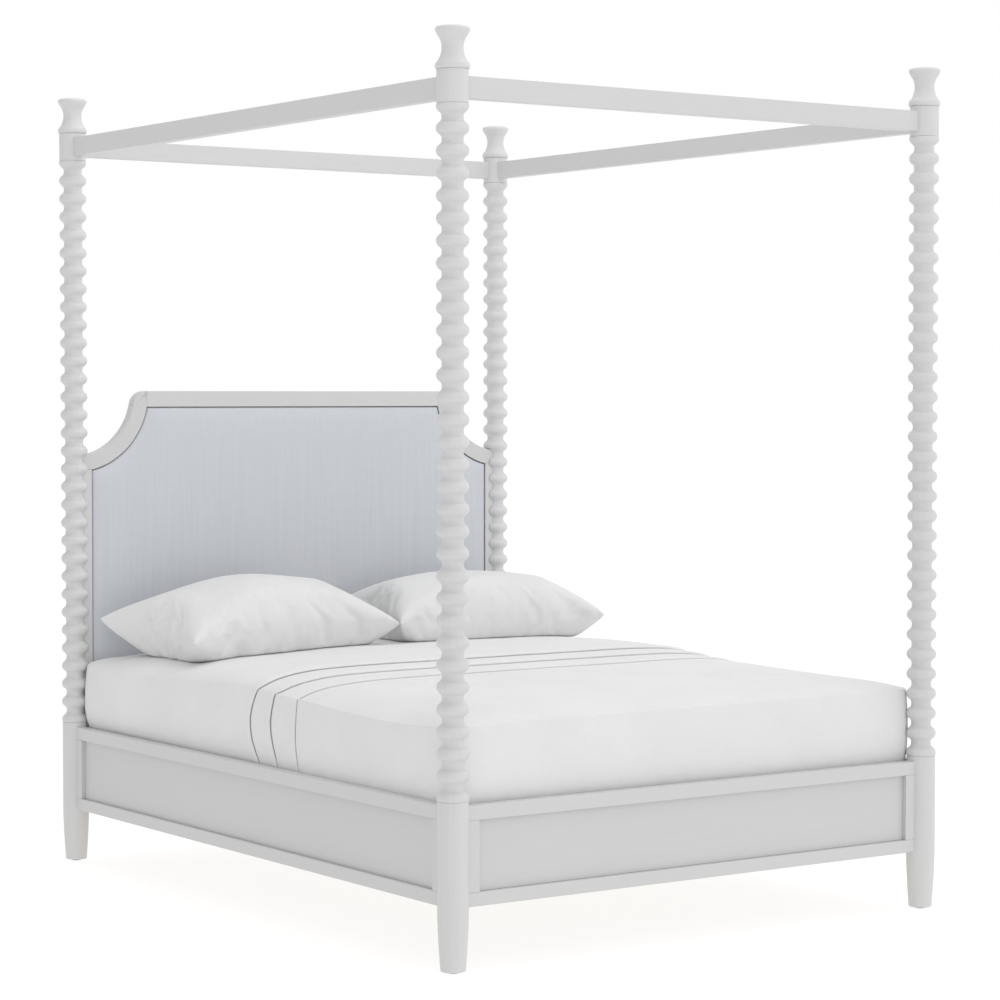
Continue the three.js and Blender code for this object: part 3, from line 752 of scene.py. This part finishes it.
# ---- slats and centre support
def make_slats():
    low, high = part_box("slat_roll")
    count, width, strap = 14, 0.068, 0.0015
    underside = low.z + strap
    pitch = (high.y - low.y - width) / (count - 1)
    slats = loft_board("pine_slats", 0, low.y + width / 2, underside, high.z, width / 2, (low.x, high.x),
                       (0.002, 0.002))
    row = slats.modifiers.new("row", "ARRAY")
    row.count = count
    row.use_relative_offset = False
    row.use_constant_offset = True
    row.constant_offset_displace = (0, pitch, 0)
    stand_for(slats, "slat_roll", PINE[0])
    for side, x in (("left", -0.42), ("right", 0.42)):
        reach = (count - 1) * pitch / 2
        strip = loft_board(f"slat_strap_{side}", 1, x, low.z, underside - 0.0001, 0.015, (-reach, reach),
                           (0.0005, 0.0005), 0.0003)
        stand_for(strip, "slat_roll", WEBBING)
    fine_board("centre_beam", 1, eases=(0.002, 0.002), wood=PINE)
    for end in ("foot", "head"):
        node = f"centre_leg_{end}"
        low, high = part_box(node)
        profile = rounded([(0, low.z, 0), (0.018, low.z, 0.002), (0.022, high.z, 0.001), (0, high.z, 0)])
        stand_for(turned(f"fine_{node}", profile, middle(node).xy, 40), node, PINE[2])


# ---- mattress and bedding
MAT_LOW, MAT_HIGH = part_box("mattress")
MAT_X, MAT_Y = MAT_HIGH.xy
PLAN_ROUND = 0.020           # radius of the bed's corners in plan
TUCK = 0.400                 # below this height the bedding is behind the rails
SHOULDER = 0.650             # height from which a bow is read down the side
LAYER = 0.0016               # from one bedding layer to the next
CLOTH = 0.0011               # thickness of one layer
NESTING = 0.0013             # how much further a lower layer's roll sits inside the next

# Each fold lies at one cover's head edge: (cover, depth, bow). The bow is how far the edge shifts along the
# bed, in mm, by distance across the bed from its middle, over the shoulder and down the side, in mm. The
# shoulder is at MAT_X, 764 mm.
FOLDS = (
    ("flat_sheet", 1.0, (
        (550, 0), (600, -8), (650, -15), (700, -24), (764, -32), (783, -24), (812, -6), (841, 5),
        (870, 13), (899, 10), (928, 5), (957, -6), (986, -26), (1009, -38))),
    ("blanket", 1.0, (
        (560, 0), (640, -9), (700, -16), (764, -22), (783, -12), (812, 0), (841, 4),
        (870, 10), (899, 6), (928, -1), (957, -11), (986, -20), (1009, -30))),
    ("coverlet", 0.75, (
        (570, 0), (650, -4), (710, -8), (764, -10), (783, -8), (812, -10), (841, -10),
        (870, -11), (899, -10), (928, -11), (957, -14), (986, -18), (1009, -26))),
)
# The fold's section, from its head side to its foot side, in mm: (grid line, place along the bed, height).
# The upper part rolls over and a little way back under itself before the lower part comes out from beneath.
FOLD_SECTION = (
    (46, 46, 0), (32, 32, 0.4), (22, 22, 0.7), (15, 15, 0.6), (10, 10, 0.1), (6.5, 6.2, -0.8),
    (4, 3.2, -2.0), (2.5, 1.2, -3.4), (1.5, 0.4, -4.6), (0.8, 0.9, -5.6), (0.3, 3.5, -6.0), (0, 9.0, -6.2),
    (-0.3, 9.0, -14.2), (-0.8, 4.5, -13.6), (-1.5, 0.9, -12.6), (-2.6, -1.4, -11.5), (-4.5, -4.0, -10.4),
    (-8, -7.8, -9.5),
    (-14, -14, -9.0), (-22, -22, -8.9), (-32, -32, -8.9), (-46, -46, -9.0))
FOLD_REACH = FOLD_SECTION[0][0]
FOLD_DROP = 9                # how much lower, in mm, the bed lies on the fold's foot side
ROLL_LINES = (6.5, 0)        # the grid lines, in mm, between which lower layers lie one inside the next


def soft_step(value):
    """From 0 to 1 as the value goes from 0 to 1, level at both ends."""
    t = np.clip(value, 0, 1)
    return t * t * (3 - 2 * t)


def centre_height(y):
    """Height of the bed's top along its middle, before the folds step it down toward the foot."""
    slope = 0.014 * (np.sqrt((y - 0.10) ** 2 + 0.10 ** 2) - 0.10)
    return 0.6725 - slope - 0.016 * np.maximum(0, y - 0.25)


def head_sag(x, y):
    """The left part of the head end lies a little lower than the middle."""
    return 0.011 * soft_step((-x - 0.05) / 0.42) * soft_step((y - 0.05) / 0.40)


def roll_over(ring, sideways, x, y):
    """How far the top has dropped at a ring, from 0 in the middle to its full drop at the edge.

    The drop is rounder and deeper at the sides than at the ends, and most of all at the left and the foot."""
    foot = 0.5 - 0.5 * np.sign(y)
    to_right = x / MAT_X
    power = 16 - 2 * foot - (8 - 2 * foot - 2.4 * to_right) * sideways
    at_end = 0.018 + 0.028 * foot
    at_side = 0.045 - 0.009 * to_right + 0.006 * (1 - to_right) * soft_step((-0.2 - y) / 0.5)
    drop = at_end + (at_side - at_end) * sideways
    return drop * (1 - np.sqrt(np.clip(1 - ring ** power, 0, 1)))


def side_share(p, q):
    """1 where the nearest edge of the bed is a side, 0 where it is an end, and a half on the corners."""
    ring = np.maximum(np.maximum(np.abs(p), np.abs(q)), 1e-6)
    by_side = 1 - 0.5 * soft_step((np.abs(q) / ring - 0.75) / 0.25)
    by_end = 0.5 * soft_step((np.abs(p) / ring - 0.75) / 0.25)
    return np.where(np.abs(p) >= np.abs(q), by_side, by_end)


def bed_top(x, y):
    """Height of the bed's top at a point well inside its edges."""
    p, q = np.clip(x / MAT_X, -1, 1), np.clip(y / MAT_Y, -1, 1)
    ring = np.maximum(np.abs(p), np.abs(q))
    return centre_height(y) - head_sag(x, y) - roll_over(ring, side_share(p, q), x, y)


def clustered(cells, extra=()):
    """Grid lines from -1 to 1, closer toward both ends, with extra lines in place of their neighbours."""
    s = np.linspace(-1, 1, cells + 1)
    lines = np.sign(s) * (1 - (1 - np.abs(s)) ** 1.7)
    if len(extra):
        lines = [v for v in lines if min(abs(v - e) for e in extra) > 0.3 / cells]
    return np.array(sorted([*lines, *extra]))


def ring_place(p, q):
    """Plan position and outward direction of a grid point on a rounded rectangle."""
    ring = max(abs(p), abs(q))
    a, b, r = MAT_X * ring, MAT_Y * ring, PLAN_ROUND * ring
    x, y = p * MAT_X, q * MAT_Y
    direction = Vector((copysign(1, p), 0)) if abs(p) >= abs(q) else Vector((0, copysign(1, q)))
    if r > 0:
        if abs(p) >= abs(q) and abs(y) > b - r:
            angle = (abs(y) - (b - r)) / r * pi / 4
        elif abs(p) < abs(q) and abs(x) > a - r:
            angle = pi / 2 - (abs(x) - (a - r)) / r * pi / 4
        else:
            return x, y, direction
        x = copysign(a - r + r * cos(angle), p)
        y = copysign(b - r + r * sin(angle), q)
        direction = Vector((copysign(cos(angle), p), copysign(sin(angle), q)))
    return x, y, direction


def bulge(way, value):
    """How far the side stands out between its top edge (0) and the rail (1)."""
    full = 0.0080 if way.y < 0.7 else 0.0024
    return full * sin(pi * value) ** 0.9


def widen(point):
    """Extra width above the rails: a little along the right side, and more at the head of the left side."""
    edge = float(soft_step((abs(point.x) / MAT_X - 0.8) / 0.2)) * float(soft_step((point.z - 0.412) / 0.05))
    return edge * (0.003 if point.x > 0 else -0.009 * float(soft_step((point.y - 0.2) / 0.6)))


def head_edges():
    """Where the covers' head edges lie along the bed."""
    return [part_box(fold[0])[1].y for fold in FOLDS]


def bedding_core(cells_x, cells_y):
    """The mattress's surface before the folds: a grid on top, and rows down the sides and round under.

    Returns its points, the place along the bed of each point's grid line, the faces and the last row."""
    fold_lines = [(edge + line[0] / 1000) / MAT_Y for edge in head_edges() for line in FOLD_SECTION]
    ps, qs = clustered(cells_x), clustered(cells_y, fold_lines)
    cells_y = len(qs) - 1
    points, lines, faces = [], [], []
    index = {}
    for i, p in enumerate(ps):
        for j, q in enumerate(qs):
            x, y, _ = ring_place(p, q)
            index[i, j] = len(points)
            drop = roll_over(max(abs(p), abs(q)), float(side_share(p, q)), x, y)
            points.append(Vector((x, y, centre_height(y) - head_sag(x, y) - drop)))
            lines.append(q * MAT_Y)
    for i in range(cells_x):
        for j in range(cells_y):
            faces.append((index[i, j], index[i + 1, j], index[i + 1, j + 1], index[i, j + 1]))
    border = [(i, 0) for i in range(cells_x)] + [(cells_x, j) for j in range(cells_y)]
    border += [(i, cells_y) for i in range(cells_x, 0, -1)] + [(0, j) for j in range(cells_y, 0, -1)]
    edge = [points[index[k]] for k in border]
    outward = [ring_place(ps[i], qs[j])[2] for i, j in border]
    last = [index[k] for k in border]
    rows = []
    for drop in (0.004, 0.012, 0.025, 0.045, 0.07, 0.10, 0.13, 0.16, 0.185, 0.205):
        share = drop / 0.205
        outs = [(way * bulge(way, share)).to_3d() for way in outward]
        rows.append([top + out + Vector((0, 0, (TUCK - top.z) * share)) for top, out in zip(edge, outs)])
    for z, inward in ((0.394, 0.001), (0.386, 0.004), (0.378, 0.009), (0.371, 0.016), (0.367, 0.024),
                      (MAT_LOW.z, 0.036), (MAT_LOW.z, 0.066)):
        rows.append([(top.x * (1 - inward / MAT_X), top.y * (1 - inward / MAT_Y), z) for top in edge])
    for places in rows:
        row = list(range(len(points), len(points) + len(places)))
        points += [Vector(place) for place in places]
        lines += [qs[j] * MAT_Y for _, j in border]
        faces += band(row, last)
        last = row
    for point in points:
        point.x += widen(point)
    return points, lines, faces, last


def cloth_relief(point):
    """Soft unevenness of the whole bed, the same for every layer, and none behind the rails."""
    fade = float(soft_step((point.z - 0.425) / 0.06))
    broad = noise.noise(Vector((point.x * 3.1, point.y * 2.7, point.z * 5.0)))
    small = noise.noise(Vector((point.x * 11, point.y * 9, point.z * 7 + 4)))
    return fade * (0.0016 * broad + 0.0005 * small)


def through(table, values):
    """Straight lines through a table of (place, amount) in rising order of place."""
    places, amounts = np.array(table, dtype=float).T
    return np.interp(values, places, amounts)


def smooth_bow(table):
    """A bow's table read every 5 mm and averaged over its neighbours, so that the edge has no kinks."""
    step, reach, width = 5, 8, 18
    places = np.arange(0, 1100, step)
    weights = np.exp(-(np.arange(-reach, reach + 1) * step / width) ** 2)
    padded = np.pad(through(table, places), reach, mode="edge")
    return np.stack([places, np.convolve(padded, weights / weights.sum(), mode="valid")], axis=1)


def fold_shift(points, lines):
    """How far each point shifts along the bed with the bows of the folds on either side of it."""
    edges = head_edges()
    across = (np.minimum(np.abs(points[:, 0]), MAT_X) + np.maximum(0, SHOULDER - points[:, 2])) * 1000
    shifts = [through(smooth_bow(fold[2]), across) / 1000 for fold in FOLDS]
    places = [edges[0] + 0.2, *edges, edges[2] - 0.25]
    amounts = [0 * across, *shifts, 0 * across]
    total = np.zeros(len(lines))
    for (upper, at_upper), (lower, at_lower) in zip(zip(places, amounts), zip(places[1:], amounts[1:])):
        share = (lines - lower) / (upper - lower)
        between = (share >= 0) & (share < 1)
        total += np.where(between, at_lower + (at_upper - at_lower) * share, 0)
    return total


def pressed(places, layer):
    """Moves points off the posts, so that the corners of the bed take the posts' shape."""
    posts = np.copysign([HALF_X, HALF_Y], places[:, :2])
    clear = BEAD_RADIUS + GAP + CLOTH + LAYER * (1 + len(FOLDS) - layer)
    away = places[:, :2] - posts
    reach = np.linalg.norm(away, axis=1, keepdims=True)
    places[:, :2] = posts + away * np.maximum(1, clear / reach)
    return places


def folded(points, lines, normals, relief, layer):
    """The points of one bedding layer, 0 being the mattress, with the folds in it.

    Toward the foot each fold leaves the top lower. Along the sides the folds are only a groove."""
    heights = [(row[0], row[2]) for row in FOLD_SECTION[::-1]]
    along_bed = [(row[0], row[1]) for row in FOLD_SECTION[::-1]]
    on_side = soft_step((centre_height(points[:, 1]) - 0.012 - points[:, 2]) / 0.045)
    scale = (1 - 0.2 * on_side) * soft_step((points[:, 2] - 0.395) / 0.04)
    height, along, sunk = relief.copy(), fold_shift(points, lines), np.zeros(len(points))
    for number, (edge, fold) in enumerate(zip(head_edges(), FOLDS), start=1):
        off = (lines - edge) * 1000
        size = fold[1] * scale
        step = -FOLD_DROP * soft_step((FOLD_REACH - off) / (2 * FOLD_REACH))
        drop = through(heights, off)
        sunk += fold[1] * step / 1000
        height += size * (drop - step + 0.7 * on_side * np.minimum(0, drop + FOLD_DROP)) / 1000
        near = np.abs(off) < FOLD_REACH
        along += near * size * (through(along_bed, off) - off) / 1000
        rolled = (off >= ROLL_LINES[1]) & (off <= ROLL_LINES[0])
        along += NESTING * max(0, number - layer) * rolled * scale
    places = points + normals * (LAYER * layer + height)[:, None]
    places[:, 1] += along
    places[:, 2] += sunk * np.maximum(0, normals[:, 2]) * soft_step((points[:, 2] - 0.45) / 0.05)
    return pressed(places, layer)


def make_bedding():
    """One surface, made once for each layer a little further out, so that no layer cuts through another."""
    points, lines, faces, rim = bedding_core(132, 150)
    core = new_mesh("core", points, faces)
    core.update()
    normals = np.array([v.normal for v in core.vertices])
    relief = np.array([cloth_relief(point) for point in points])
    points, lines = np.array(points), np.array(lines)
    layers = [folded(points, lines, normals, relief, layer) for layer in range(len(FOLDS) + 2)]

    pad = mesh_object("mattress_pad", layers[0], faces + [tuple(rim)], smooth_angle=60)
    stand_for(pad, "mattress", TICKING)

    fitted = mesh_object("fitted_cover", layers[1], faces, smooth_angle=80)
    stand_for(fitted, "fitted_sheet", LINEN)
    thicken(fitted)

    foot_drop, hem = 0.25, 0.380
    for layer, (edge, fold) in enumerate(zip(head_edges(), FOLDS), start=2):
        covered = (lines < edge + 1e-6) & (points[:, 2] > hem)
        cover = make_cover(fold[0], layers[layer], [face for face in faces if covered[list(face)].all()])


def thicken(piece):
    """Gives a sheet its thickness, outward from the surface it lies on."""
    solid = piece.modifiers.new("thickness", "SOLIDIFY")
    solid.thickness = CLOTH
    solid.offset = 1


def make_cover(node, places, faces):
    """A cover made of the faces between its head edge and the foot."""
    used = sorted({k for face in faces for k in face})
    number = {k: n for n, k in enumerate(used)}
    mesh = new_mesh(node, [places[k] for k in used], [[number[k] for k in face] for face in faces])
    mesh.shade_smooth()
    cover = placed(f"draped_{node}", mesh)
    stand_for(cover, node, LINEN)
    thicken(cover)
    return cover


# ---- pillows
def pillow_bag(name, width, depth, cells, seed):
    """A flat bag of two faces joined all round, barely puffed, as it is before it is filled."""
    rows = round(cells * depth / width)
    points, faces, index = [], [], {}

    def vertex(face, i, j):
        edge = i in (0, cells) or j in (0, rows)
        key = (0 if edge else face, i, j)
        if key not in index:
            u, v = 2 * i / cells - 1, 2 * j / rows - 1
            puff = 0 if edge else (0.012 + 0.004 * noise.noise(Vector((u * 3, v * 3, seed + face * 9))))
            index[key] = len(points)
            points.append((u * width / 2, v * depth / 2, (1 - 2 * face) * puff * (1 - u * u) * (1 - v * v)))
        return index[key]

    for face in (0, 1):
        for i in range(cells):
            for j in range(rows):
                square = ((i, j), (i + 1, j), (i + 1, j + 1), (i, j + 1))
                corners = [vertex(face, *corner) for corner in square]
                faces.append(corners if face == 0 else corners[::-1])
    return mesh_object(name, points, faces, smooth_angle=180)


CASE_CLOTH = {
    "use_pressure": True, "uniform_pressure_force": 4.0, "quality": 6, "mass": 0.25, "air_damping": 2,
    "tension_stiffness": 20, "compression_stiffness": 20, "shear_stiffness": 6, "bending_stiffness": 0.5,
    "tension_damping": 8, "compression_damping": 8, "shear_damping": 5, "bending_damping": 1,
}


def fill_pillow(bag, frames):
    """Blows the bag up by cloth simulation, with gravity off, and keeps the result."""
    cloth = bag.modifiers.new("cloth", "CLOTH")
    for name, value in CASE_CLOTH.items():
        setattr(cloth.settings, name, value)
    cloth.settings.effector_weights.gravity = 0
    cloth.collision_settings.use_collision = False
    cloth.point_cache.frame_start = 1
    cloth.point_cache.frame_end = frames
    for step in range(1, frames + 1):
        bpy.context.scene.frame_set(step)
    apply_modifiers(bag)
    bpy.context.scene.frame_set(1)


def peaked(bag, width, plump, shares):
    """Scales the filling, and thins it toward the left and right ends, each by its own share.

    The underside keeps more of its filling than the top."""
    for vertex in bag.data.vertices:
        u = vertex.co.x * 2 / width
        full, share = plump, shares[0] if u < 0 else shares[1]
        if vertex.co.z < 0:
            full, share = full + 0.20, share / 3
        vertex.co.z *= full * (1 - share * float(soft_step((abs(u) - 0.05) / 0.75)))


def make_pillow(node, size, place, turn, tilt, lean, frames, seed, plump, shares):
    """A filled pillow, turned and tilted by angles in degrees and set down on the bed's top."""
    width, depth = size
    bag = pillow_bag(f"filled_{node}", width, depth, 78, seed)
    fill_pillow(bag, frames)
    peaked(bag, width, plump, shares)
    angles = Euler([radians(angle) for angle in (tilt, -lean, turn)])
    bag.data.transform(Matrix.Translation(place) @ angles.to_matrix().to_4x4())
    clear, soft = 0.0035, 0.004
    for vertex in bag.data.vertices:
        bed = float(bed_top(vertex.co.x, vertex.co.y)) + clear
        rise = (vertex.co.z - bed) / soft
        vertex.co.z = bed + soft * (log1p(exp(rise)) if rise < 30 else rise)
    fine = bag.modifiers.new("fine", "SUBSURF")
    fine.levels = fine.render_levels = 1
    stand_for(bag, node, PILLOW_COTTON)


# ---- stage
def aim(piece, place, back):
    """Puts a lamp or camera at a place, looking away from the back direction."""
    piece.location = place
    piece.rotation_mode = "QUATERNION"
    piece.rotation_quaternion = back.to_track_quat("Z", "Y")


def make_stage():
    """A pale floor that glows a little, a white world that dims toward the left, and three soft lights."""
    reach = 80
    corners = [(x * reach, y * reach, 0) for x, y in ((-1, -1), (1, -1), (1, 1), (-1, 1))]
    floor = placed("studio_floor", new_mesh("studio_floor", corners, [(0, 1, 2, 3)]))
    shader = Shader("studio_floor", 0.9)
    shader.surface.inputs["Base Color"].default_value = (0.18, 0.18, 0.18, 1)
    shader.surface.inputs["Emission Color"].default_value = (1, 1, 1, 1)
    shader.surface.inputs["Emission Strength"].default_value = 0.84
    floor.data.materials.append(shader.material)

    world = bpy.data.worlds.new("studio")
    bpy.context.scene.world = world
    sky = Nodes(world)
    background = sky.tree.nodes["Background"]
    background.inputs["Color"].default_value = (1, 1, 1, 1)
    axes = sky.node("ShaderNodeSeparateXYZ")
    sky.link(sky.node("ShaderNodeTexCoord").outputs["Generated"], axes.inputs["Vector"])
    sky.link(sky.ranged(axes.outputs["X"], 0.58, 1, start=-0.9, stop=0.35), background.inputs["Strength"])

    lights = (
        ("overhead", (0.3, -0.6, 5.2), 5.0, 62, (0, 0, 0.4)),
        ("front_left", (-4.6, -5.6, 3.4), 3.5, 34, (0, 0, 0.9)),
        ("front_right", (5.2, -4.2, 3.0), 3.5, 16, (0, 0, 0.9)),
    )
    for name, place, size, energy, target in lights:
        data = bpy.data.lights.new(name, "AREA")
        data.energy = energy
        data.size = size
        lamp = placed(name, data)
        aim(lamp, place, Vector(place) - Vector(target))
        lamp.visible_camera = False


def make_camera():
    """The photo's own view, from the left of the foot and a little down."""
    azimuth, elevation = radians(-34.80), radians(2.117)
    level = cos(elevation)
    back = Vector((sin(azimuth) * level, -cos(azimuth) * level, sin(elevation)))
    data = bpy.data.cameras.new("camera")
    data.sensor_width = 36
    data.lens = 101.8
    camera = placed("camera", data)
    aim(camera, (-4.6884, -6.8620, 1.4379), back)
    data.clip_end = 100
    bpy.context.scene.camera = camera


make_camera()
make_stage()
make_posts()
make_rails()
make_headboard()
make_slats()
make_bedding()
make_pillow("pillow_left", size=(0.825, 0.565), place=(-0.357, 0.715, 0.743), turn=6, tilt=5, lean=1.5,
            frames=18, seed=1.7, plump=0.90, shares=(0.22, 0.07))
make_pillow("pillow_right", size=(0.780, 0.560), place=(0.442, 0.712, 0.737), turn=-6, tilt=1, lean=0,
            frames=17, seed=6.2, plump=1.04, shares=(0.05, 0.05))
bpy.context.scene.view_settings.view_transform = "Standard"
